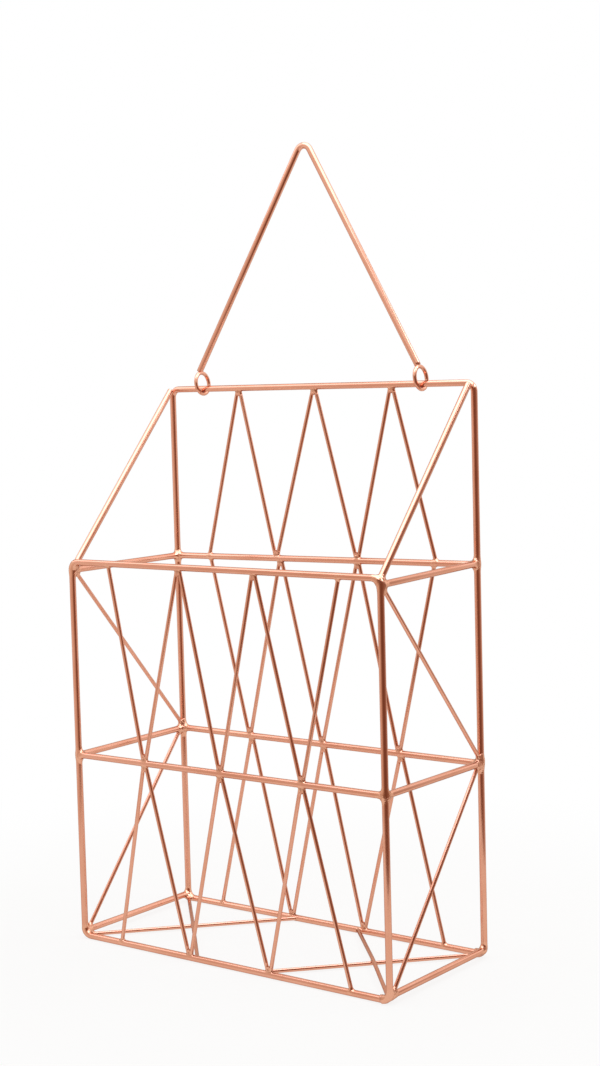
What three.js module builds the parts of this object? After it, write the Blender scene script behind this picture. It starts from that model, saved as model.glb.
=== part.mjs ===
// Wall magazine rack: a pocket of welded steel wire, with a triangular hanger on its back top rail.
// Millimetres. +X is to the right as seen from the front, +Y points to the wall, +Z is up.
// The origin lies on the surface that the rack stands on, in the middle of the rack's outer box.

import * as THREE from 'three';

// Frames, measured between the centre lines of their wires
const WIDTH = 222;
const DEPTH = 95.5;
const LOWER_TIER = 110.5;
const UPPER_TIER = 115;
const BACK_RISE = 100;

// Wire gauges and bends
const RAIL_DIAMETER = 3.8;
const THIN_DIAMETER = 2.3;
const FRAME_BEND_INNER_RADIUS = 3.1;
const LATTICE_BEND_INNER_RADIUS = 0.65;
const HANGER_BEND_INNER_RADIUS = 3.9;

// Side rails and braces
const UPPER_SIDE_RAIL_DROP = 4.3;
const BOTTOM_SIDE_RAIL_RISE = 2.5;
const SLOPE_FRONT_DROP = 3;
const SLOPE_BACK_RISE = 3.3;
const UPPER_BRACE_INSET = 1.2;
const UPPER_BRACE_RISE = 1.3;
const LOWER_BRACE_INSET = 2.5;

// Zigzags and floor
const LATTICE_BAYS = 4;
const FLOOR_GAP = 45;
const FLOOR_BOW_RADIUS = 30;

// Hanger
const HANGER_HEIGHT = 141;
const EYE_INSET = 30;
const EYE_PLAY = 6.1;
const HANGER_SHIFT = -5.5;

// Welded ends stop this far short of the wire that they are welded to
const JOINT_GAP = 0.3;

// Fineness of the faceted wires
const RAIL_SIDES = 16;
const THIN_SIDES = 12;
const RAIL_BEND_STEP = Math.PI / 12;
const THIN_BEND_STEP = Math.PI / 6;
const EYE_STEPS = 24;

// Finish
const COPPER = { color: 0xd18a6b, roughness: 0.34, metalness: 1 };

const X_AXIS = new THREE.Vector3(1, 0, 0);
const Y_AXIS = new THREE.Vector3(0, 1, 0);
const Z_AXIS = new THREE.Vector3(0, 0, 1);

const RAIL = { radius: RAIL_DIAMETER / 2, sides: RAIL_SIDES, bendStep: RAIL_BEND_STEP };
const THIN = { radius: THIN_DIAMETER / 2, sides: THIN_SIDES, bendStep: THIN_BEND_STEP };

// Bends, on the wire's centre line
const frameBend = FRAME_BEND_INNER_RADIUS + RAIL.radius;
const latticeBend = LATTICE_BEND_INNER_RADIUS + THIN.radius;
const hangerBend = HANGER_BEND_INNER_RADIUS + RAIL.radius;

// Eyes, which hang up against the underside of the back top rail
const eyeInnerRadius = (RAIL_DIAMETER + EYE_PLAY) / 2;
const eyeRadius = eyeInnerRadius + THIN.radius;
const eyeOuterRadius = eyeInnerRadius + THIN_DIAMETER;
const eyeLift = eyeInnerRadius - RAIL.radius - JOINT_GAP;

// The hanger leans back until its top touches the wall that the eyes touch
const hangerLean = Math.asin((eyeOuterRadius - RAIL.radius) / (HANGER_HEIGHT - eyeLift));
const wallReach = eyeOuterRadius + eyeLift * Math.sin(hangerLean);

// Planes and levels of the wires' centre lines
const halfWidth = WIDTH / 2;
const backY = (DEPTH + RAIL.radius - wallReach) / 2;
const frontY = backY - DEPTH;
const bottomZ = RAIL.radius;
const midZ = bottomZ + LOWER_TIER;
const frontTopZ = midZ + UPPER_TIER;
const backTopZ = frontTopZ + BACK_RISE;
const upperSideZ = frontTopZ - UPPER_SIDE_RAIL_DROP;
const bottomSideZ = bottomZ + BOTTOM_SIDE_RAIL_RISE;

const SIDES = [
  { side: 'left', sign: -1 },
  { side: 'right', sign: 1 },
];

function leftNormal(direction) {
  return new THREE.Vector2(-direction.y, direction.x);
}

function turned(direction, angle) {
  return direction.clone().rotateAround(new THREE.Vector2(), angle);
}

// A corner is a bend around a centre, or a plain end of no radius. A positive radius turns left.
function corner(x, y, radius = 0) {
  return { centre: new THREE.Vector2(x, y), radius };
}

// The straight leg that leaves one corner and meets the next one without a kink.
function leg(from, to) {
  const span = to.centre.clone().sub(from.centre);
  const lean = Math.asin((from.radius - to.radius) / span.length());
  return turned(span.normalize(), lean);
}

function pointOnBend({ centre, radius }, direction) {
  return centre.clone().addScaledVector(leftNormal(direction), -radius);
}

// Stations along a bend, from the leg that comes in to the leg that goes out.
function bendStations(bend, incoming, outgoing, bendStep) {
  const turn = Math.sign(bend.radius) * Math.acos(THREE.MathUtils.clamp(incoming.dot(outgoing), -1, 1));
  const steps = Math.ceil(Math.abs(turn) / bendStep);
  const stations = [];
  for (let step = 0; step <= steps; step += 1) {
    const direction = turned(incoming, (turn * step) / steps);
    stations.push({ point: pointOnBend(bend, direction), direction });
  }
  return stations;
}

function closedPath(corners, { bendStep }) {
  const legs = corners.map((from, index) => leg(from, corners[(index + 1) % corners.length]));
  return corners.flatMap((bend, index) => bendStations(bend, legs.at(index - 1), legs[index], bendStep));
}

// The cuts are the lengths that the two ends lose to the wires that they are welded to.
function openPath(corners, { bendStep }, startCut, endCut) {
  const legs = corners.slice(1).map((to, index) => leg(corners[index], to));
  const first = legs[0];
  const last = legs.at(-1);
  const start = corners[0].centre.clone().addScaledVector(first, startCut);
  const end = corners.at(-1).centre.clone().addScaledVector(last, -endCut);
  const bends = corners.slice(1, -1);
  return [
    { point: start, direction: first },
    ...bends.flatMap((bend, index) => bendStations(bend, legs[index], legs[index + 1], bendStep)),
    { point: end, direction: last },
  ];
}

// Lifts a flat path into space, on the plane through an origin with the given two axes.
function inPlane(path, origin, across, up) {
  const lift = (flat) => across.clone().multiplyScalar(flat.x).addScaledVector(up, flat.y);
  return path.map(({ point, direction }) => ({
    point: lift(point).add(origin),
    direction: lift(direction),
  }));
}

// A wire of one gauge along its stations. Its flats lie in and square to the plane with this normal.
function wireGeometry(stations, normal, { radius, sides }, closed = false) {
  const cornerRadius = radius / Math.cos(Math.PI / sides);
  const positions = [];
  for (const { point, direction } of stations) {
    const outward = direction.clone().cross(normal);
    for (let k = 0; k < sides; k += 1) {
      const angle = (2 * Math.PI * (k + 0.5)) / sides;
      const vertex = point
        .clone()
        .addScaledVector(outward, cornerRadius * Math.cos(angle))
        .addScaledVector(normal, cornerRadius * Math.sin(angle));
      positions.push(vertex.x, vertex.y, vertex.z);
    }
  }

  const indices = [];
  const rings = closed ? stations.length : stations.length - 1;
  for (let ring = 0; ring < rings; ring += 1) {
    const here = ring * sides;
    const next = ((ring + 1) % stations.length) * sides;
    for (let k = 0; k < sides; k += 1) {
      const other = (k + 1) % sides;
      indices.push(here + k, next + k, here + other);
      indices.push(here + other, next + k, next + other);
    }
  }
  if (!closed) {
    const lastRing = (stations.length - 1) * sides;
    for (let k = 1; k < sides - 1; k += 1) {
      indices.push(0, k, k + 1);
      indices.push(lastRing, lastRing + k + 1, lastRing + k);
    }
  }

  const geometry = new THREE.BufferGeometry();
  geometry.setAttribute('position', new THREE.Float32BufferAttribute(positions, 3));
  geometry.setIndex(indices);
  geometry.computeVertexNormals();
  return geometry;
}

function wireMesh(name, geometry) {
  const mesh = new THREE.Mesh(geometry, new THREE.MeshStandardMaterial(COPPER));
  mesh.name = name;
  return mesh;
}

// How far a square-cut end stays short of its neighbours' axes, so that its edge leaves the joint gap.
function setback(direction, gauge, neighbourAxes) {
  const shortfalls = neighbourAxes.map((axis) => {
    const cosine = Math.abs(direction.dot(axis));
    const sine = Math.sqrt(1 - cosine * cosine);
    return (RAIL.radius + JOINT_GAP + gauge.radius * cosine) / sine;
  });
  return Math.max(...shortfalls);
}

// A straight wire between two points, each given with the axes of the rails that it is welded to there.
function straightWire(name, gauge, normal, from, fromAxes, to, toAxes) {
  const direction = to.clone().sub(from).normalize();
  const stations = [
    { point: from.clone().addScaledVector(direction, setback(direction, gauge, fromAxes)), direction },
    { point: to.clone().addScaledVector(direction, -setback(direction, gauge, toAxes)), direction },
  ];
  return wireMesh(name, wireGeometry(stations, normal, gauge));
}

// A rectangular frame of one bent wire.
function frame(name, y, topZ) {
  const right = halfWidth - frameBend;
  const corners = [
    corner(right, bottomZ + frameBend, frameBend),
    corner(right, topZ - frameBend, frameBend),
    corner(-right, topZ - frameBend, frameBend),
    corner(-right, bottomZ + frameBend, frameBend),
  ];
  const stations = inPlane(closedPath(corners, RAIL), new THREE.Vector3(0, y, 0), X_AXIS, Z_AXIS);
  return wireMesh(name, wireGeometry(stations, Y_AXIS, RAIL, true));
}

// A rail across the rack, between the two uprights of a frame.
function crossRail(name, y, z) {
  const left = new THREE.Vector3(-halfWidth, y, z);
  const right = new THREE.Vector3(halfWidth, y, z);
  return straightWire(name, RAIL, Y_AXIS, left, [Z_AXIS], right, [Z_AXIS]);
}

// One thin wire bent into a zigzag, with its two cut ends on one rail and its odd bends on the other.
function lattice(name, y, endRailZ, otherRailZ) {
  const up = Math.sign(otherRailZ - endRailZ);
  const seat = RAIL.radius + JOINT_GAP + THIN.radius + latticeBend;
  const last = 2 * LATTICE_BAYS - 2;
  const corners = [];
  for (let k = 0; k <= last; k += 1) {
    const x = -halfWidth + ((k + 1) * WIDTH) / (2 * LATTICE_BAYS);
    const isEnd = k === 0 || k === last;
    if (isEnd) {
      corners.push(corner(x, endRailZ));
    } else if (k % 2 === 0) {
      corners.push(corner(x, endRailZ + up * seat, up * latticeBend));
    } else {
      corners.push(corner(x, otherRailZ - up * seat, -up * latticeBend));
    }
  }
  const endLeg = leg(corners[0], corners[1]);
  const cut = setback(new THREE.Vector3(endLeg.x, 0, endLeg.y), THIN, [X_AXIS]);
  const stations = inPlane(openPath(corners, THIN, cut, cut), new THREE.Vector3(0, y, 0), X_AXIS, Z_AXIS);
  return wireMesh(name, wireGeometry(stations, Y_AXIS, THIN));
}

// A rail from the front frame to the back frame.
function sideRail(name, x, z) {
  const front = new THREE.Vector3(x, frontY, z);
  const back = new THREE.Vector3(x, backY, z);
  return straightWire(name, RAIL, X_AXIS, front, [Z_AXIS], back, [Z_AXIS]);
}

// The sloping rail, from the middle of the front frame's top bend to the middle of the back frame's.
function slopeRail(name, sign) {
  const x = sign * (halfWidth - frameBend * (1 - Math.SQRT1_2));
  const front = new THREE.Vector3(x, frontY, frontTopZ - SLOPE_FRONT_DROP);
  const back = new THREE.Vector3(x, backY, backTopZ + SLOPE_BACK_RISE);
  const bendAxis = new THREE.Vector3(sign, 0, -1).normalize();
  return straightWire(name, RAIL, X_AXIS, front, [bendAxis], back, [Z_AXIS]);
}

// From under the upper side rail down to the back upright, just over the middle rail.
function upperBrace(name, x) {
  const front = new THREE.Vector3(x, frontY + UPPER_BRACE_INSET, upperSideZ);
  const back = new THREE.Vector3(x, backY, midZ + UPPER_BRACE_RISE);
  return straightWire(name, THIN, X_AXIS, front, [Y_AXIS], back, [Z_AXIS]);
}

// From the bottom side rail up to the underside of the middle one.
function lowerBrace(name, x) {
  const front = new THREE.Vector3(x, frontY + LOWER_BRACE_INSET, bottomSideZ);
  const back = new THREE.Vector3(x, backY - LOWER_BRACE_INSET, midZ);
  return straightWire(name, THIN, X_AXIS, front, [Y_AXIS], back, [Y_AXIS]);
}

// A thin wire across the floor, from a corner of the rack to the opposite bottom rail.
function floorWireEnds(sign, cornerY) {
  const oppositeY = frontY + backY - cornerY;
  return {
    from: new THREE.Vector3(sign * halfWidth, cornerY, bottomZ),
    to: new THREE.Vector3((sign * FLOOR_GAP) / 2, oppositeY, bottomZ),
  };
}

// The flat wire of each crossing pair starts at the front left or the back right corner.
function flatFloorWire(name, sign) {
  const { from, to } = floorWireEnds(sign, sign < 0 ? frontY : backY);
  const normal = to.clone().sub(from).normalize().cross(Z_AXIS);
  return straightWire(name, THIN, normal, from, [X_AXIS, Y_AXIS], to, [X_AXIS]);
}

// The partner of a flat floor wire is bowed, to pass over it where the two cross halfway.
function bowedFloorWire(name, sign) {
  const { from, to } = floorWireEnds(sign, sign < 0 ? backY : frontY);
  const length = from.distanceTo(to);
  const across = to.clone().sub(from).normalize();
  const rise = THIN_DIAMETER + JOINT_GAP;
  const corners = [
    corner(0, 0),
    corner(length / 2, rise - FLOOR_BOW_RADIUS, -FLOOR_BOW_RADIUS),
    corner(length, 0),
  ];
  const startCut = setback(across, THIN, [X_AXIS, Y_AXIS]);
  const endCut = setback(across, THIN, [X_AXIS]);
  const stations = inPlane(openPath(corners, THIN, startCut, endCut), from, across, Z_AXIS);
  return wireMesh(name, wireGeometry(stations, across.clone().cross(Z_AXIS), THIN));
}

// The hanger's pieces are placed from the line that it swings about, the back top rail's axis.
function eyeX(sign) {
  return sign * (halfWidth - EYE_INSET) + HANGER_SHIFT;
}

function eye(name, sign) {
  const centre = new THREE.Vector2(0, eyeLift);
  const path = [];
  for (let step = 0; step < EYE_STEPS; step += 1) {
    const direction = turned(new THREE.Vector2(1, 0), (2 * Math.PI * step) / EYE_STEPS);
    path.push({ point: pointOnBend({ centre, radius: eyeRadius }, direction), direction });
  }
  const stations = inPlane(path, new THREE.Vector3(eyeX(sign), 0, 0), Y_AXIS, Z_AXIS);
  return wireMesh(name, wireGeometry(stations, X_AXIS, THIN, true));
}

// The hanger's own wire: two legs that stand on the eyes' tops and meet in a bend.
function hangerWire(name) {
  const eyeTopZ = eyeLift + eyeOuterRadius;
  const corners = [
    corner(eyeX(-1), eyeTopZ),
    corner(HANGER_SHIFT, HANGER_HEIGHT - hangerBend, -hangerBend),
    corner(eyeX(1), eyeTopZ),
  ];
  const cut = JOINT_GAP + THIN.radius * (1 - leg(corners[0], corners[1]).y);
  const stations = inPlane(openPath(corners, RAIL, cut, cut), new THREE.Vector3(), X_AXIS, Z_AXIS);
  return wireMesh(name, wireGeometry(stations, Y_AXIS, RAIL));
}

function buildRack() {
  const rack = new THREE.Group();
  rack.add(
    frame('front_frame', frontY, frontTopZ),
    frame('back_frame', backY, backTopZ),
    crossRail('front_middle_rail', frontY, midZ),
    crossRail('back_middle_rail', backY, midZ),
    crossRail('back_upper_rail', backY, upperSideZ),
    lattice('front_upper_zigzag', frontY, frontTopZ, midZ),
    lattice('front_lower_zigzag', frontY, bottomZ, midZ),
    lattice('back_top_zigzag', backY, upperSideZ, backTopZ),
    lattice('back_middle_zigzag', backY, upperSideZ, midZ),
    lattice('back_lower_zigzag', backY, bottomZ, midZ),
  );
  for (const { side, sign } of SIDES) {
    const x = sign * halfWidth;
    rack.add(
      sideRail(`${side}_upper_side_rail`, x, upperSideZ),
      sideRail(`${side}_middle_side_rail`, x, midZ),
      sideRail(`${side}_bottom_side_rail`, x, bottomSideZ),
      slopeRail(`${side}_slope_rail`, sign),
      upperBrace(`${side}_upper_brace`, x),
      lowerBrace(`${side}_lower_brace`, x),
      flatFloorWire(`${side}_flat_floor_wire`, sign),
      bowedFloorWire(`${side}_bowed_floor_wire`, sign),
    );
  }
  return rack;
}

function buildHanger() {
  const hanger = new THREE.Group();
  hanger.position.set(0, backY, backTopZ);
  hanger.rotation.x = -hangerLean;
  hanger.add(hangerWire('hanger_wire'));
  for (const { side, sign } of SIDES) {
    hanger.add(eye(`${side}_hanger_eye`, sign));
  }
  return hanger;
}

const magazineRack = new THREE.Group();
magazineRack.add(buildRack(), buildHanger());

export default magazineRack;
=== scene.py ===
"""The looks of the wall magazine rack: its plated wires and welds, the floor, the lights and the camera.

Metres, in the frame of the CAD model: +X is to the right, +Y points to the wall, +Z is up.
"""

import cmath
import math

import bpy
import numpy as np
from mathutils import Euler, Matrix, Vector


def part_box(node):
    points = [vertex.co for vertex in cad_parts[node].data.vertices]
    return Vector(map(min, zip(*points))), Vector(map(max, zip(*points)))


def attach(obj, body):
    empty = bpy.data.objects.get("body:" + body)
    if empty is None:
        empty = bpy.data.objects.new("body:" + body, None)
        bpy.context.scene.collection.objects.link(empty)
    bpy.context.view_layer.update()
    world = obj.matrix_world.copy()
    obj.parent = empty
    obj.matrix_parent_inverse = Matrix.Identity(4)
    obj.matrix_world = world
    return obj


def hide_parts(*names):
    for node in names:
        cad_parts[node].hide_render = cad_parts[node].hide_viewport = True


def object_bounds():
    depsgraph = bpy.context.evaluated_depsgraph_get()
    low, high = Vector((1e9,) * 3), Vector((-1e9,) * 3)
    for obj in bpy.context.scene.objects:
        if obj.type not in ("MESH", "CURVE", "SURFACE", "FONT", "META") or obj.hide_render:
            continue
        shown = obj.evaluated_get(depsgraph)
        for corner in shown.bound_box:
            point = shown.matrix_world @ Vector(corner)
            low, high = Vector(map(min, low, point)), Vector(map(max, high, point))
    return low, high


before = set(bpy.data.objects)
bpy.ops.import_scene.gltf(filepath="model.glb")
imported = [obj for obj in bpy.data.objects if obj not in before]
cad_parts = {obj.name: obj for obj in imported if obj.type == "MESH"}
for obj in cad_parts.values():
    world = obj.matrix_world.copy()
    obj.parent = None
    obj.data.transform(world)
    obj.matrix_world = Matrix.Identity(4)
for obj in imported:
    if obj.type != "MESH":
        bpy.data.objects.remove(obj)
cad_low, cad_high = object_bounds()

X = Vector((1, 0, 0))
Y = Vector((0, 1, 0))
Z = Vector((0, 0, 1))


def middle(node):
    """The middle of a CAD node's box."""
    low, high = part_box(node)
    return (low + high) / 2


# Gauges, planes and levels of the wires' centre lines, from the boxes of the CAD nodes
front_low, front_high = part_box("front_frame")
thin_low, thin_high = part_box("front_upper_zigzag")
RAIL = (front_high.y - front_low.y) / 2
THIN = (thin_high.y - thin_low.y) / 2
HALF_WIDTH = front_high.x - RAIL
FRONT_Y = middle("front_frame").y
BACK_Y = middle("back_frame").y
BOTTOM_Z = front_low.z + RAIL
MIDDLE_Z = middle("front_middle_rail").z
FRONT_TOP_Z = front_high.z - RAIL
BACK_TOP_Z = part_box("back_frame")[1].z - RAIL
UPPER_SIDE_Z = middle("left_upper_side_rail").z
BOTTOM_SIDE_Z = middle("left_bottom_side_rail").z

# Bends
FRAME_BEND = 0.005
ZIGZAG_BEND = 0.0014
HANGER_BEND = 0.0052
FLOOR_BOW = 0.03

# Ends of the sloping wires
SLOPE_FRONT_DROP = 0.003
SLOPE_BACK_RISE = 0.0033
SLOPE_SHORTFALL = 0.0054
UPPER_BRACE_INSET = 0.0012
UPPER_BRACE_RISE = 0.0013
LOWER_BRACE_INSET = 0.0025
FLOOR_WIRE_START = 0.0026
FLOOR_WIRE_END = 0.0225

# Hanger. Its eyes were bent a little oval, and its legs were welded on a little beside their middles.
HANGER_HEIGHT = 0.1422
HANGER_LEAN = math.radians(2.22)
LEG_SHIFT = -0.0021
LEG_PRESSED_IN = 0.0002
EYE_HALF_HEIGHT = 0.00655
EYE_HALF_DEPTH = 0.0061
EYE_TILT = math.radians(7)
EYE_PLAY = 0.0001

# Where each zigzag touches its rails, as shares of the frame's width from the left. They were bent by hand.
ZIGZAG_SHARES = {
    "front_upper_zigzag": (0.130, 0.237, 0.373, 0.493, 0.618, 0.752, 0.879),
    "front_lower_zigzag": (0.135, 0.237, 0.373, 0.493, 0.634, 0.752, 0.889),
    "back_top_zigzag": (0.118, 0.240, 0.357, 0.499, 0.628, 0.749, 0.877),
    "back_middle_zigzag": (0.122, 0.246, 0.371, 0.497, 0.629, 0.748, 0.872),
    "back_lower_zigzag": (0.128, 0.253, 0.379, 0.502, 0.622, 0.755, 0.880),
}
BEND_PRESSED_IN = 0.0007

# How far off their levels some rails were welded: left and right ends, or front and back ends
OFF_LEVEL = {
    "front_middle_rail": (-0.0007, 0.0),
    "back_upper_rail": (-0.0003, 0.0025),
    "left_upper_side_rail": (-0.0005, -0.0003),
    "left_middle_side_rail": (-0.0008, 0.0),
    "right_upper_side_rail": (0.0008, 0.0031),
}

# Fineness of the wires. A step along a wire is a share of the way to the nearest weld, within two limits.
SIDES = 32
EYE_STEPS = 48
BEND_STEP = math.radians(7.5)
STEPS_TO_WELD = 3
SHORTEST_STEP = 0.0008
LONGEST_STEP = 0.012

# Kinds of weld: how far each reaches, how widely it fills a crease, and how strong the painted shade in its
# seams is
RAIL_WELD = dict(reach=0.0062, blend=0.001, seam_shade_strength=0.3)
SLOPE_WELD = dict(reach=0.0066, blend=0.0006, seam_shade_strength=0.8)
SLANTED_WELD = dict(reach=0.0056, blend=0.00022, seam_shade_strength=1.0)
EYE_WELD = dict(reach=0.0038, blend=0.00022, seam_shade_strength=1.0)
END_WELD = dict(reach=0.0046, blend=0.00055, seam_shade_strength=0.25)
BEND_WELD = dict(reach=0.0054, blend=0.00045, seam_shade_strength=0.4)

# Weld metal: lumps, seams, depth under the wires' skin, pitch of the mesh, and how far from a weld the
# wires' painted shade and extra roughness reach
LUMP_SEED = 7
LUMP_HEIGHT = 0.00028
LUMP_WAVES = 4000
SEAM_DEPTH = 0.00012
SEAM_WIDTH = 0.00025
UNDER_SKIN = 0.00004
WELD_PITCH = 0.0003
NEAR_WELD_LENGTH = 0.0028

# Copper-rose plating, the painted shade and painted highlight on and beside the welds, and the tint of what
# it reflects at its edges
PLATING = (0.75, 0.36, 0.24, 1)
PALE_PLATING = (0.79, 0.395, 0.27, 1)
DEEP_PLATING = (0.71, 0.325, 0.205, 1)
# Painted shade on the wires near the welds
NEAR_WELD_PAINTED_SHADE = (0.66, 0.26, 0.145, 1)
# Paler weld metal: painted highlight that stands in for the glints on the welds
WELD_PAINTED_HIGHLIGHT = (0.82, 0.45, 0.28, 1)
# Painted shade in the weld seams
PAINTED_SEAM_SHADE = (0.10, 0.035, 0.02, 1)
EDGE_TINT = (0.55, 0.48, 0.45, 1)

# Patterns in the plating, in waves to the metre. Streaks are drawn out along the wire.
BLOTCHES = 45
CLOUDS = 320
GRAIN = 1600
STREAKS = (20, 3200, 3200)

# What the patterns bring, from their lowest to their highest values, and how much each adds to the relief
PALE_IN_BLOTCHES = (-0.6, 1.6)
PLAIN_IN_GRAIN = (-0.15, 0.45)
# How the painted shade in the weld seams varies with the clouds
SEAM_SHADE_RANGE = (-0.4, 1.9)
STREAK_ROUGHNESS = (0.13, 0.2)
GRAIN_ROUGHNESS = (-0.02, 0.03)
STREAK_RELIEF = 0.5
GRAIN_RELIEF = 0.35
RELIEF_HEIGHT = 0.00006

# Painted light at the welds: its share; and for drawn wire and weld metal, the range of its mask, its
# colour (painted shade on drawn wire, painted highlight on weld metal), the change of roughness under it,
# and how strong the relief of each is
PAINTED_LIGHT_SHARE = 0.6
WIRE_FINISH = dict(drawn=True, heat=(0.2, 1.2), tint=NEAR_WELD_PAINTED_SHADE, roughness=0.12, relief=0.08)
WELD_FINISH = dict(drawn=False, heat=(0.15, 0.9), tint=WELD_PAINTED_HIGHLIGHT, roughness=-0.04, relief=0.3)

# Floor: pale, with the rack's shadow, and whiter further away
FLOOR_HALF_SIZE = 3
FLOOR_COLOUR = (0.88, 0.79, 0.64, 1)
SHADE_NEAR = 0.15
SHADE_FAR = 0.45
WHITENESS_NEAR = 0.86

# Softboxes: heading clockwise from the wall and height angle in degrees, distance, sides, and brightness
ROOM_LIGHT = 0.35
LAMP_COLOUR = (0.88, 0.98, 1.22)
SOFTBOXES = {
    "overhead_softbox": dict(heading=90, height=89, distance=0.9, sides=(1.2, 1.0), brightness=2.4),
    "left_softbox": dict(heading=-112, height=40, distance=1.5, sides=(1.1, 0.9), brightness=1.15),
    "right_softbox": dict(heading=60, height=41, distance=1.3, sides=(0.65, 0.3), brightness=6.0),
    "back_softbox": dict(heading=12, height=26, distance=1.5, sides=(1.6, 1.2), brightness=0.35),
}

# Dark screen: its tones, from its one end at the back right, around the front, to its other end at the left
SCREEN_RADIUS = 0.32
SCREEN_BOTTOM = 0.006
SCREEN_TOP = 0.46
SCREEN_FROM = math.radians(45)
SCREEN_TO = math.radians(240)
SCREEN_STEPS = 60
SCREEN_TONES = {
    0.00: (1.00, 1.00, 1.00, 1),
    0.09: (0.47, 0.33, 0.28, 1),
    0.24: (0.32, 0.175, 0.13, 1),
    0.34: (0.235, 0.115, 0.077, 1),
    0.47: (0.235, 0.115, 0.077, 1),
    0.60: (0.45, 0.31, 0.245, 1),
    0.66: (0.72, 0.59, 0.51, 1),
    0.88: (0.82, 0.72, 0.68, 1),
    1.00: (1.00, 1.00, 1.00, 1),
}

# Camera: its place, and its turns about X, Y and Z from looking straight down
CAMERA_PLACE = (0.6596, -0.8401, 0.3312)
CAMERA_TILT = math.radians(85.294)
CAMERA_LEAN = math.radians(1.482)
CAMERA_HEADING = math.radians(37.125)
CAMERA_LENS = 62.685
CAMERA_SENSOR = 36

# All the wires by their CAD nodes, and all the welds. They are laid out first, and then made into meshes.
wires = {}
welds = []


def leg(start, end):
    """Direction of the straight that leaves one bend and meets the next. A bend is (centre, radius)."""
    span = end[0] - start[0]
    lean = math.asin((start[1] - end[1]) / abs(span))
    return span / abs(span) * cmath.exp(1j * lean)


def around(bend, incoming, outgoing):
    """Points around one bend."""
    centre, radius = bend
    turn = cmath.phase(outgoing / incoming)
    steps = max(1, math.ceil(abs(turn) / BEND_STEP))
    return [centre - 1j * radius * incoming * cmath.exp(1j * turn * k / steps) for k in range(steps + 1)]


def open_path(bends):
    """Points in a plane, from the first bend's centre to the last one's, around those between."""
    legs = [leg(a, b) for a, b in zip(bends, bends[1:])]
    points = [bends[0][0]]
    for bend, incoming, outgoing in zip(bends[1:], legs, legs[1:]):
        points += around(bend, incoming, outgoing)
    return points + [bends[-1][0]]


def closed_path(bends):
    """Points in a plane, around all the bends."""
    legs = [leg(a, b) for a, b in zip(bends, bends[1:] + bends[:1])]
    points = []
    for bend, incoming, outgoing in zip(bends, [legs[-1]] + legs, legs):
        points += around(bend, incoming, outgoing)
    return points


def lifted(path, origin, across, up):
    """Points in a plane, lifted into space."""
    return [origin + across * point.real + up * point.imag for point in path]


def wire(node, points, radius, normal, body="rack", closed=False):
    """Notes the wire that stands for a CAD node. The normal is square to the plane that it lies in."""
    wires[node] = dict(points=points, radius=radius, normal=normal, body=body, closed=closed)


def weld(place, kind, body="rack"):
    """Notes a weld."""
    welds.append(dict(place=place, body=body, **kind))


def straight(node, start, end, radius, normal, kind):
    """A straight wire between the centre lines of its neighbours, welded to them at both ends."""
    wire(node, [start, end], radius, normal)
    weld(start, kind)
    weld(end, kind)


def rectangle(node, y, top):
    """A frame bent from one rail, with round corners."""
    side = HALF_WIDTH - FRAME_BEND
    low = BOTTOM_Z + FRAME_BEND
    high = top - FRAME_BEND
    centres = (complex(side, low), complex(side, high), complex(-side, high), complex(-side, low))
    path = closed_path([(centre, FRAME_BEND) for centre in centres])
    wire(node, lifted(path, Y * y, X, Z), RAIL, Y, closed=True)


def end_levels(node, z):
    """Heights of a rail's two ends."""
    return [z + offset for offset in OFF_LEVEL.get(node, (0, 0))]


def cross_rail(node, y, z):
    """A rail from one side of a frame to the other."""
    left, right = end_levels(node, z)
    straight(node, Vector((-HALF_WIDTH, y, left)), Vector((HALF_WIDTH, y, right)), RAIL, Y, RAIL_WELD)


def zigzag(node, y, end_rail, other_rail):
    """A thin wire with its ends and even bends on one rail, and its odd bends on the other.

    Each rail is given with the heights of its left and right ends.
    """
    up = math.copysign(1, other_rail[0] - end_rail[0])
    seat = RAIL + THIN + ZIGZAG_BEND - BEND_PRESSED_IN
    shares = ZIGZAG_SHARES[node]
    bends = []
    for k, share in enumerate(shares):
        x = (2 * share - 1) * HALF_WIDTH
        rail, side = (other_rail, -up) if k % 2 else (end_rail, up)
        rail_z = rail[0] + (rail[1] - rail[0]) * share
        if k in (0, len(shares) - 1):
            bends.append((complex(x, rail_z), 0))
            weld(Vector((x, y, rail_z + side * RAIL / 2)), END_WELD)
        else:
            bends.append((complex(x, rail_z + side * seat), side * ZIGZAG_BEND))
            weld(Vector((x, y, rail_z + side * RAIL)), BEND_WELD)
    wire(node, lifted(open_path(bends), Y * y, X, Z), THIN, Y)


def side_wires(side, sign):
    """The rails and braces of one end of the rack."""
    x = sign * HALF_WIDTH
    for level, z in (("upper", UPPER_SIDE_Z), ("middle", MIDDLE_Z), ("bottom", BOTTOM_SIDE_Z)):
        node = f"{side}_{level}_side_rail"
        front, back = end_levels(node, z)
        straight(node, Vector((x, FRONT_Y, front)), Vector((x, BACK_Y, back)), RAIL, X, RAIL_WELD)
    slope_x = sign * (HALF_WIDTH - FRAME_BEND * (1 - math.sqrt(0.5)))
    start = Vector((slope_x, FRONT_Y, FRONT_TOP_Z - SLOPE_FRONT_DROP))
    end = Vector((slope_x, BACK_Y, BACK_TOP_Z + SLOPE_BACK_RISE))
    end -= (end - start).normalized() * SLOPE_SHORTFALL
    straight(f"{side}_slope_rail", start, end, RAIL, X, SLOPE_WELD)
    start = Vector((x, FRONT_Y + UPPER_BRACE_INSET, UPPER_SIDE_Z))
    end = Vector((x, BACK_Y, MIDDLE_Z + UPPER_BRACE_RISE))
    straight(f"{side}_upper_brace", start, end, THIN, X, SLANTED_WELD)
    start = Vector((x, FRONT_Y + LOWER_BRACE_INSET, BOTTOM_SIDE_Z))
    end = Vector((x, BACK_Y - LOWER_BRACE_INSET, MIDDLE_Z))
    straight(f"{side}_lower_brace", start, end, THIN, X, SLANTED_WELD)


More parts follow.
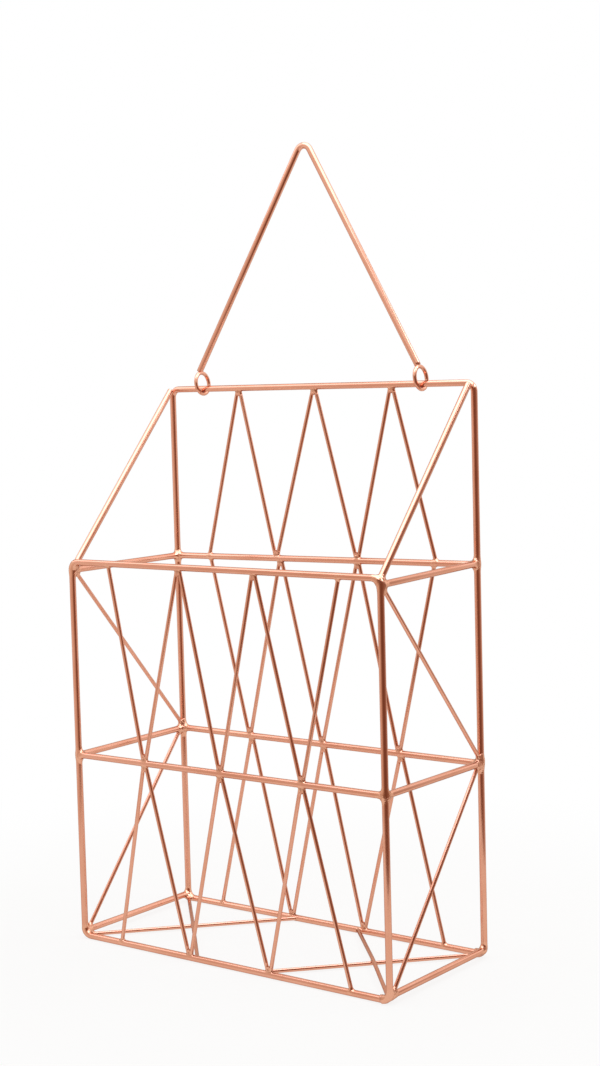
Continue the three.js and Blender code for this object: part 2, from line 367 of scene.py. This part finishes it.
def floor_wires(side, sign):
    """Two thin wires that cross in the floor, one of them bowed over the other."""
    for kind, rise in (("flat", 0), ("bowed", 2 * THIN)):
        starts_in_front = (sign < 0) == (kind == "flat")
        start_y, end_y = (FRONT_Y, BACK_Y) if starts_in_front else (BACK_Y, FRONT_Y)
        start = Vector((sign * HALF_WIDTH, start_y, BOTTOM_Z))
        end = Vector((sign * FLOOR_WIRE_END, end_y, BOTTOM_Z))
        across = (end - start).normalized()
        start += across * FLOOR_WIRE_START
        length = (end - start).length
        path = [0j, complex(length)]
        if rise:
            bow = (complex(length / 2, rise - FLOOR_BOW), -FLOOR_BOW)
            path = open_path([(0j, 0), bow, (complex(length), 0)])
        wire(f"{side}_{kind}_floor_wire", lifted(path, start, across, Z), THIN, across.cross(Z))
        weld(start, SLANTED_WELD)
        weld(end, SLANTED_WELD)
    crossing = (start + end) / 2 + Z * THIN
    weld(crossing, END_WELD)


def hanger_wires():
    """The hanger's bent wire and its eyes, which are pulled up against the back top rail's underside."""
    up = Vector((0, math.sin(HANGER_LEAN), math.cos(HANGER_LEAN)))
    back = Vector((0, math.cos(HANGER_LEAN), -math.sin(HANGER_LEAN)))
    origin = Vector((0, BACK_Y, BACK_TOP_Z))
    eye_up = up * math.cos(EYE_TILT) - X * math.sin(EYE_TILT)
    eye_lift = EYE_HALF_HEIGHT - THIN - RAIL - EYE_PLAY
    turns = [2 * math.pi * k / EYE_STEPS for k in range(EYE_STEPS)]
    ring = [complex(EYE_HALF_DEPTH * math.cos(turn), EYE_HALF_HEIGHT * math.sin(turn)) for turn in turns]
    foot_height = eye_lift + EYE_HALF_HEIGHT * math.cos(EYE_TILT) + THIN - LEG_PRESSED_IN
    feet = []
    for side in ("left", "right"):
        eye_x = middle(f"{side}_hanger_eye").x
        points = lifted(ring, origin + X * eye_x + up * eye_lift, back, eye_up)
        wire(f"{side}_hanger_eye", points, THIN, back.cross(eye_up), "hanger", closed=True)
        feet.append(complex(eye_x + LEG_SHIFT, foot_height))
    for place in lifted(feet, origin, X, up):
        weld(place, EYE_WELD, "hanger")
    top = (complex(sum(feet).real / 2, HANGER_HEIGHT - HANGER_BEND), -HANGER_BEND)
    path = open_path([(feet[0], 0), top, (feet[1], 0)])
    wire("hanger_wire", lifted(path, origin, X, up), RAIL, back, "hanger")


def weld_gap(place, body):
    """How far a place is from the nearest weld."""
    return min((place - item["place"]).length for item in welds if item["body"] == body)


def stations(item):
    """Points along a wire, close together in bends and near welds and far apart elsewhere."""
    points = item["points"]
    ring = points + points[:1] if item["closed"] else points
    fine = []
    for a, b in zip(ring, ring[1:]):
        length = (b - a).length
        gone = 0
        while gone < length - SHORTEST_STEP / 2:
            place = a.lerp(b, gone / length)
            fine.append(place)
            gone += min(max(weld_gap(place, item["body"]) / STEPS_TO_WELD, SHORTEST_STEP), LONGEST_STEP)
    return fine if item["closed"] else fine + [points[-1]]


def note(mesh, name, values):
    """Notes a number, or three, for each vertex of a mesh. Its material reads them."""
    values = np.array(values, np.float32)
    kind, field = ("FLOAT", "value") if values.ndim == 1 else ("FLOAT_VECTOR", "vector")
    mesh.attributes.new(name, kind, "POINT").data.foreach_set(field, values.ravel())


def tube_faces(count, closed):
    """Faces between neighbouring rings, and one at each end of an open wire."""
    faces = []
    for k in range(count if closed else count - 1):
        here, there = k * SIDES, (k + 1) % count * SIDES
        for j in range(SIDES):
            beside = (j + 1) % SIDES
            faces.append((here + j, here + beside, there + beside, there + j))
    if not closed:
        faces.append(tuple(reversed(range(SIDES))))
        faces.append(tuple(range((count - 1) * SIDES, count * SIDES)))
    return faces


def tube(name, item):
    """A round wire. Its rings stand square to it, with one axis along the normal of its plane."""
    centres = stations(item)
    path = np.array(centres)
    before, after = np.roll(path, 1, axis=0), np.roll(path, -1, axis=0)
    if not item["closed"]:
        before[0], after[-1] = path[0], path[-1]
    normal = np.array(item["normal"])
    outward = np.cross(after - before, normal)
    outward /= np.linalg.norm(outward, axis=1)[:, None]
    angle = 2 * np.pi * np.arange(SIDES) / SIDES
    ring = np.cos(angle)[None, :, None] * outward[:, None] + np.sin(angle)[None, :, None] * normal
    vertices = (path[:, None] + item["radius"] * ring).reshape(-1, 3)
    faces = tube_faces(len(path), item["closed"])
    mesh = bpy.data.meshes.new(name)
    mesh.from_pydata(vertices.tolist(), [], faces)
    mesh.polygons.foreach_set("use_smooth", [len(face) == 4 for face in faces])
    steps = np.linalg.norm(np.diff(path, axis=0), axis=1)
    place = np.empty((len(path), SIDES, 3))
    place[..., 0] = np.concatenate([[0], np.cumsum(steps)])[:, None]
    place[..., 1] = item["radius"] * np.cos(angle)
    place[..., 2] = item["radius"] * np.sin(angle)
    note(mesh, "wire_place", place)
    # Nearness to the nearest weld: the wire is rougher there and takes painted shade
    heat = [math.exp(-weld_gap(centre, item["body"]) / NEAR_WELD_LENGTH) for centre in centres]
    note(mesh, "heat", np.repeat(heat, SIDES))
    return mesh


def skin_distance(places, path, radius):
    """Distance from places to the skin of a stretch of wire."""
    start, span = path[:-1], np.diff(path, axis=0)
    offset = places[:, None] - start
    share = np.clip((offset * span).sum(2) / (span**2).sum(1), 0, 1)
    return np.linalg.norm(offset - share[..., None] * span, axis=2).min(1) - radius


def core(item):
    """A wire's centre line, shortened so that round tips on it reach as far as the wire's own ends."""
    if item["closed"]:
        return np.array(item["points"] + item["points"][:1])
    path = np.array(item["points"])
    for tip, inner in ((0, 1), (-1, -2)):
        inward = path[inner] - path[tip]
        path[tip] += item["radius"] * inward / np.linalg.norm(inward)
    return path


def stretches(item, place, reach):
    """The stretches of a wire that pass a place, cut in two where they turn back on themselves."""
    path = core(item)
    start, span = path[:-1], np.diff(path, axis=0)
    share = np.clip(((place - start) * span).sum(1) / (span**2).sum(1), 0, 1)
    gaps = np.linalg.norm(place - start - share[:, None] * span, axis=1)
    close = np.flatnonzero(gaps < reach + item["radius"])
    if not len(close):
        return []
    runs = np.split(close, np.flatnonzero(np.diff(close) > 1) + 1)
    found = []
    for run in runs:
        first, last = run[0], run[-1]
        if span[first] @ span[last] < 0 and not item["closed"]:
            apex = first + np.argmin(gaps[first : last + 1]) + 1
            found += [path[first : apex + 1], path[apex : last + 2]]
        else:
            found.append(path[first : last + 2])
    return [stretch for stretch in found if len(stretch) > 1]


def crossing_cells(field):
    """For each cell of a grid, the sum and number of the places on its edges where the field is zero."""
    shape = np.array(field.shape) - 1
    corners = np.stack(np.meshgrid(*[np.arange(n) for n in shape], indexing="ij"), -1)
    total, number = np.zeros((*shape, 3)), np.zeros(shape)
    for axis in range(3):
        for shift in np.ndindex(2, 2, 2):
            if shift[axis]:
                continue
            step = np.array(shift)
            step[axis] = 1
            low = field[tuple(slice(s, s + n) for s, n in zip(shift, shape))]
            high = field[tuple(slice(s, s + n) for s, n in zip(step, shape))]
            crosses = (low < 0) != (high < 0)
            place = corners + np.array(shift, float)
            place[..., axis] += np.where(crosses, low / np.where(crosses, low - high, 1), 0)
            total += place * crosses[..., None]
            number += crosses
    return total, number


def zero_surface(field, origin):
    """Vertices and faces of the surface where a field on a grid is zero, with one vertex to a cell."""
    total, number = crossing_cells(field)
    used = number > 0
    index = np.full(number.shape, -1)
    index[used] = np.arange(used.sum())
    vertices = origin + WELD_PITCH * total[used] / number[used][:, None]
    inside = field < 0
    units = np.eye(3, dtype=int)
    faces = []
    for axis in range(3):
        changes = np.argwhere(np.diff(inside, axis=axis))
        first, second = units[(axis + 1) % 3], units[(axis + 2) % 3]
        neighbours = (changes - first - second, changes - second, changes, changes - first)
        rings = np.stack([index[tuple(cells.T)] for cells in neighbours], 1)
        flipped = ~inside[tuple(changes.T)]
        rings[flipped] = rings[flipped][:, ::-1]
        faces.append(rings)
    return vertices, np.concatenate(faces)


def skin_gaps(item, places):
    """Distances from places to the skin of each wire that a weld joins, one row to a wire."""
    middle_of_weld = np.array(item["place"])
    rows = []
    for other in wires.values():
        if other["body"] == item["body"]:
            for path in stretches(other, middle_of_weld, item["reach"]):
                rows.append(skin_distance(places, path, other["radius"]))
    return np.array(rows)


def seam(gaps):
    """1 where the two nearest wires are equally near, and falling to 0 beside the seam between them."""
    nearest = np.sort(gaps, axis=0)
    return np.exp(-(((nearest[1] - nearest[0]) / SEAM_WIDTH) ** 2))


def grid_around(place, reach):
    """The origin of a cubic grid around a weld, how many points it has to a side, and the points."""
    margin = 2 * WELD_PITCH
    count = int(2 * (reach + margin) / WELD_PITCH)
    origin = place - WELD_PITCH * (count - 1) / 2
    ticks = [origin[axis] + WELD_PITCH * np.arange(count) for axis in range(3)]
    return origin, count, np.stack(np.meshgrid(*ticks, indexing="ij"), -1).reshape(-1, 3)


def fillet(item, rng):
    """The metal that fills the creases at one weld. Beyond them it lies just under the wires' skin."""
    place, reach, blend = np.array(item["place"]), item["reach"], item["blend"]
    origin, count, grid = grid_around(place, reach)
    gaps = skin_gaps(item, grid)
    pulls = np.exp(-gaps / blend)
    crease = 1 - pulls.max(0) / pulls.sum(0)
    waves = rng.normal(0, LUMP_WAVES, (3, 3))
    lump = np.sin((grid - place) @ waves + rng.uniform(0, 2 * np.pi, 3)).mean(1)
    field = UNDER_SKIN - blend * np.log(pulls.sum(0))
    field += SEAM_DEPTH * (1 - lump) / 2 * seam(gaps) - LUMP_HEIGHT * crease * lump
    field = np.maximum(field, np.linalg.norm(grid - place, axis=1) - reach)
    field = np.maximum(field, -grid[:, 2])
    vertices, faces = zero_surface(field.reshape(count, count, count), origin)
    # Each vertex of the weld carries the painted shade of its seam
    return vertices, faces, item["seam_shade_strength"] * seam(skin_gaps(item, vertices))


def fillets(body):
    """All the welds of one body as one mesh."""
    rng = np.random.default_rng(LUMP_SEED)
    vertices, faces, seams = [], [], []
    count = 0
    for item in welds:
        if item["body"] == body:
            found, rings, dark = fillet(item, rng)
            vertices.append(found)
            faces.append(rings + count)
            seams.append(dark)
            count += len(found)
    mesh = bpy.data.meshes.new(f"{body}_welds")
    mesh.from_pydata(np.concatenate(vertices).tolist(), [], np.concatenate(faces).tolist())
    mesh.polygons.foreach_set("use_smooth", [True] * len(mesh.polygons))
    # The material reads the painted shade of the seams from this
    note(mesh, "seam", np.concatenate(seams))
    return mesh


class Nodes:
    """Short words for building the node tree of a material or world."""

    def __init__(self, owner):
        owner.use_nodes = True
        self.tree = owner.node_tree
        self.tree.nodes.clear()

    def add(self, kind, **values):
        """A node with these settings. An input's name has _ for a space, and may take another output."""
        node = self.tree.nodes.new(kind)
        for name, value in values.items():
            if hasattr(node, name):
                setattr(node, name, value)
                continue
            key = int(name[3:]) if name[:3] == "in_" else name.replace("_", " ")
            self.fill(node.inputs[key], value)
        return node

    def fill(self, socket, value):
        if isinstance(value, bpy.types.NodeSocket):
            self.tree.links.new(value, socket)
        else:
            socket.default_value = value

    def math(self, operation, first, second):
        return self.add("ShaderNodeMath", operation=operation, in_0=first, in_1=second).outputs[0]

    def total(self, first, second):
        return self.math("ADD", first, second)

    def product(self, first, second):
        return self.math("MULTIPLY", first, second)

    def noise(self, place, scale, detail=2):
        return self.add("ShaderNodeTexNoise", Vector=place, Scale=scale, Detail=detail).outputs["Fac"]

    def attribute(self, name, output):
        return self.add("ShaderNodeAttribute", attribute_name=name).outputs[output]

    def ramp(self, value, low, high):
        """A value from 0 to 1, spread from low to high."""
        return self.add("ShaderNodeMapRange", Value=value, To_Min=low, To_Max=high).outputs["Result"]

    def mixed(self, share, first, second):
        """A colour between two others. This kind of node has its colours in inputs 6 and 7 and output 2."""
        return self.add("ShaderNodeMix", data_type="RGBA", in_0=share, in_6=first, in_7=second).outputs[2]


def plating(name, finish):
    """Satin plating. Drawn wire is darker near welds with painted shade and rougher there, and weld metal
    is paler in patches with painted highlight and smoother there.

    Drawn wire is streaked along its length, and weld metal has painted shade in its seams.
    """
    material = bpy.data.materials.new(name)
    nodes = Nodes(material)
    space = nodes.add("ShaderNodeTexCoord").outputs["Object"]
    blotches = nodes.noise(space, BLOTCHES, detail=3)
    grain = nodes.noise(space, GRAIN, detail=3)
    clouds = nodes.noise(space, CLOUDS)
    streaks = clouds
    heat = nodes.ramp(clouds, *finish["heat"])
    if finish["drawn"]:
        place = nodes.attribute("wire_place", "Vector")
        drawn = nodes.add("ShaderNodeVectorMath", operation="MULTIPLY", in_0=place, in_1=STREAKS)
        streaks = nodes.noise(drawn.outputs[0], 1)
        heat = nodes.product(nodes.attribute("heat", "Fac"), heat)
    tone = nodes.mixed(nodes.ramp(blotches, *PALE_IN_BLOTCHES), DEEP_PLATING, PALE_PLATING)
    tone = nodes.mixed(nodes.ramp(grain, *PLAIN_IN_GRAIN), tone, PLATING)
    # Painted shade on drawn wire near welds, and painted highlight in paler patches of weld metal
    tone = nodes.mixed(nodes.product(heat, PAINTED_LIGHT_SHARE), tone, finish["tint"])
    # Painted shade in the weld seams
    if not finish["drawn"]:
        dark = nodes.product(nodes.attribute("seam", "Fac"), nodes.ramp(clouds, *SEAM_SHADE_RANGE))
        tone = nodes.mixed(dark, tone, PAINTED_SEAM_SHADE)
    rough = nodes.total(nodes.ramp(streaks, *STREAK_ROUGHNESS), nodes.product(heat, finish["roughness"]))
    rough = nodes.total(rough, nodes.ramp(grain, *GRAIN_ROUGHNESS))
    height = nodes.total(nodes.product(grain, GRAIN_RELIEF), nodes.product(streaks, STREAK_RELIEF))
    bump = nodes.add("ShaderNodeBump", Strength=finish["relief"], Distance=RELIEF_HEIGHT, Height=height)
    shader = nodes.add("ShaderNodeBsdfPrincipled", Base_Color=tone, Metallic=1.0, Roughness=rough,
                       Specular_Tint=EDGE_TINT, Normal=bump.outputs["Normal"])
    nodes.add("ShaderNodeOutputMaterial", Surface=shader.outputs[0])
    return material


def piece(name, mesh, material, body):
    """A mesh that rides on a body, with the given material."""
    obj = bpy.data.objects.new(name, mesh)
    bpy.context.scene.collection.objects.link(obj)
    mesh.materials.append(material)
    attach(obj, body)
    return obj


def rack_wires():
    """The frames, rails, braces and zigzags, and the floor's wires."""
    rectangle("front_frame", FRONT_Y, FRONT_TOP_Z)
    rectangle("back_frame", BACK_Y, BACK_TOP_Z)
    cross_rail("front_middle_rail", FRONT_Y, MIDDLE_Z)
    cross_rail("back_middle_rail", BACK_Y, MIDDLE_Z)
    cross_rail("back_upper_rail", BACK_Y, UPPER_SIDE_Z)
    bottom = end_levels("front_frame", BOTTOM_Z)
    front_top = end_levels("front_frame", FRONT_TOP_Z)
    back_top = end_levels("back_frame", BACK_TOP_Z)
    front_middle = end_levels("front_middle_rail", MIDDLE_Z)
    back_middle = end_levels("back_middle_rail", MIDDLE_Z)
    back_upper = end_levels("back_upper_rail", UPPER_SIDE_Z)
    zigzag("front_upper_zigzag", FRONT_Y, front_top, front_middle)
    zigzag("front_lower_zigzag", FRONT_Y, bottom, front_middle)
    zigzag("back_top_zigzag", BACK_Y, back_upper, back_top)
    zigzag("back_middle_zigzag", BACK_Y, back_upper, back_middle)
    zigzag("back_lower_zigzag", BACK_Y, bottom, back_middle)
    for side, sign in (("left", -1), ("right", 1)):
        side_wires(side, sign)
        floor_wires(side, sign)


def dressed_pieces():
    """A round wire in place of each CAD node, and the welds of each body."""
    wire_plating = plating("wire_plating", WIRE_FINISH)
    weld_plating = plating("weld_plating", WELD_FINISH)
    for node, item in wires.items():
        round_wire = piece(f"{node}_wire", tube(node, item), wire_plating, item["body"])
        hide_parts(node)
    for body in ("rack", "hanger"):
        piece(f"{body}_welds", fillets(body), weld_plating, body)


def staged(name, mesh):
    """An object of the studio, which isn't part of the rack, with its material's nodes."""
    obj = bpy.data.objects.new(name, mesh)
    bpy.context.scene.collection.objects.link(obj)
    material = bpy.data.materials.new(name)
    mesh.materials.append(material)
    return obj, Nodes(material)


def background_share(nodes):
    """1 for rays that show the background, straight or in the metal, and 0 for those that light things."""
    path = nodes.add("ShaderNodeLightPath").outputs
    seen = nodes.math("MAXIMUM", path["Is Camera Ray"], path["Is Glossy Ray"])
    return nodes.math("MAXIMUM", seen, path["Is Transmission Ray"])


def studio_floor():
    """A pale floor that keeps the rack's shadow near it, and is white further away."""
    mesh = bpy.data.meshes.new("floor")
    signs = ((-1, -1), (1, -1), (1, 1), (-1, 1))
    mesh.from_pydata([(x * FLOOR_HALF_SIZE, y * FLOOR_HALF_SIZE, 0) for x, y in signs], [], [(0, 1, 2, 3)])
    nodes = staged("floor", mesh)[1]
    space = nodes.add("ShaderNodeTexCoord").outputs["Object"]
    distance = nodes.add("ShaderNodeVectorMath", operation="LENGTH", in_0=space).outputs["Value"]
    whiteness = nodes.add("ShaderNodeMapRange", interpolation_type="SMOOTHSTEP", Value=distance,
                          From_Min=SHADE_NEAR, From_Max=SHADE_FAR, To_Min=WHITENESS_NEAR, To_Max=1.0)
    share = nodes.product(background_share(nodes), whiteness.outputs["Result"])
    paper = nodes.add("ShaderNodeBsdfDiffuse", Color=FLOOR_COLOUR)
    white = nodes.add("ShaderNodeEmission", Strength=1.0)
    mix = nodes.add("ShaderNodeMixShader", in_0=share, in_1=paper.outputs[0], in_2=white.outputs[0])
    nodes.add("ShaderNodeOutputMaterial", Surface=mix.outputs[0])


def studio_room():
    """White where it shows, and dimmer as a source of light."""
    world = bpy.data.worlds.new("studio")
    bpy.context.scene.world = world
    nodes = Nodes(world)
    dim = nodes.add("ShaderNodeBackground", Strength=ROOM_LIGHT)
    white = nodes.add("ShaderNodeBackground", Color=(1, 1, 1, 1), Strength=1.0)
    share = background_share(nodes)
    mix = nodes.add("ShaderNodeMixShader", in_0=share, in_1=dim.outputs[0], in_2=white.outputs[0])
    nodes.add("ShaderNodeOutputWorld", Surface=mix.outputs[0])


def dark_screen():
    """A dark screen around the rack's front. Only the metal sees it, and it gives the wires a dark side."""
    vertices, faces, fade = [], [], []
    for k in range(SCREEN_STEPS + 1):
        share = k / SCREEN_STEPS
        heading = SCREEN_FROM + (SCREEN_TO - SCREEN_FROM) * share
        x, y = SCREEN_RADIUS * math.sin(heading), SCREEN_RADIUS * math.cos(heading)
        vertices += [(x, y, SCREEN_BOTTOM), (x, y, SCREEN_TOP)]
        fade += [share, share]
        if k:
            faces.append((2 * k - 2, 2 * k, 2 * k + 1, 2 * k - 1))
    mesh = bpy.data.meshes.new("dark_screen")
    mesh.from_pydata(vertices, [], faces)
    note(mesh, "around", fade)
    screen, nodes = staged("dark_screen", mesh)
    for way in ("camera", "diffuse", "transmission", "volume_scatter", "shadow"):
        setattr(screen, f"visible_{way}", False)
    tones = nodes.add("ShaderNodeValToRGB", Fac=nodes.attribute("around", "Fac"))
    elements = tones.color_ramp.elements
    while len(elements) < len(SCREEN_TONES):
        elements.new(1)
    for element, (position, colour) in zip(elements, SCREEN_TONES.items()):
        element.position = position
        element.color = colour
    glow = nodes.add("ShaderNodeEmission", Color=tones.outputs["Color"], Strength=1.0)
    nodes.add("ShaderNodeOutputMaterial", Surface=glow.outputs[0])


def softbox(name, heading, height, distance, sides, brightness):
    """A lamp that faces the middle of the rack. Its brightness is that of its face, whatever its size."""
    heading, height = math.radians(heading), math.radians(height)
    flat = math.cos(height)
    toward = Vector((math.sin(heading) * flat, math.cos(heading) * flat, math.sin(height)))
    data = bpy.data.lights.new(name, "AREA")
    data.shape = "RECTANGLE"
    data.size, data.size_y = sides
    data.color = LAMP_COLOUR
    data.energy = brightness * math.pi * sides[0] * sides[1]
    lamp = bpy.data.objects.new(name, data)
    lamp.location = Z * (cad_high.z / 2) + toward * distance
    lamp.rotation_euler = toward.to_track_quat("Z", "Y").to_euler()
    lamp.visible_camera = False
    bpy.context.scene.collection.objects.link(lamp)


def studio_camera():
    """A camera in front of the rack, to its right and a little above its middle."""
    data = bpy.data.cameras.new("camera")
    data.sensor_width = CAMERA_SENSOR
    data.lens = CAMERA_LENS
    camera = bpy.data.objects.new("camera", data)
    bpy.context.scene.collection.objects.link(camera)
    turn = Euler((CAMERA_TILT, CAMERA_LEAN, CAMERA_HEADING)).to_matrix()
    camera.matrix_world = Matrix.Translation(CAMERA_PLACE) @ turn.to_4x4()
    bpy.context.scene.camera = camera


rack_wires()
hanger_wires()
dressed_pieces()
studio_floor()
studio_room()
dark_screen()
for lamp_name, settings in SOFTBOXES.items():
    softbox(lamp_name, **settings)
studio_camera()
bpy.context.scene.view_settings.view_transform = "Standard"
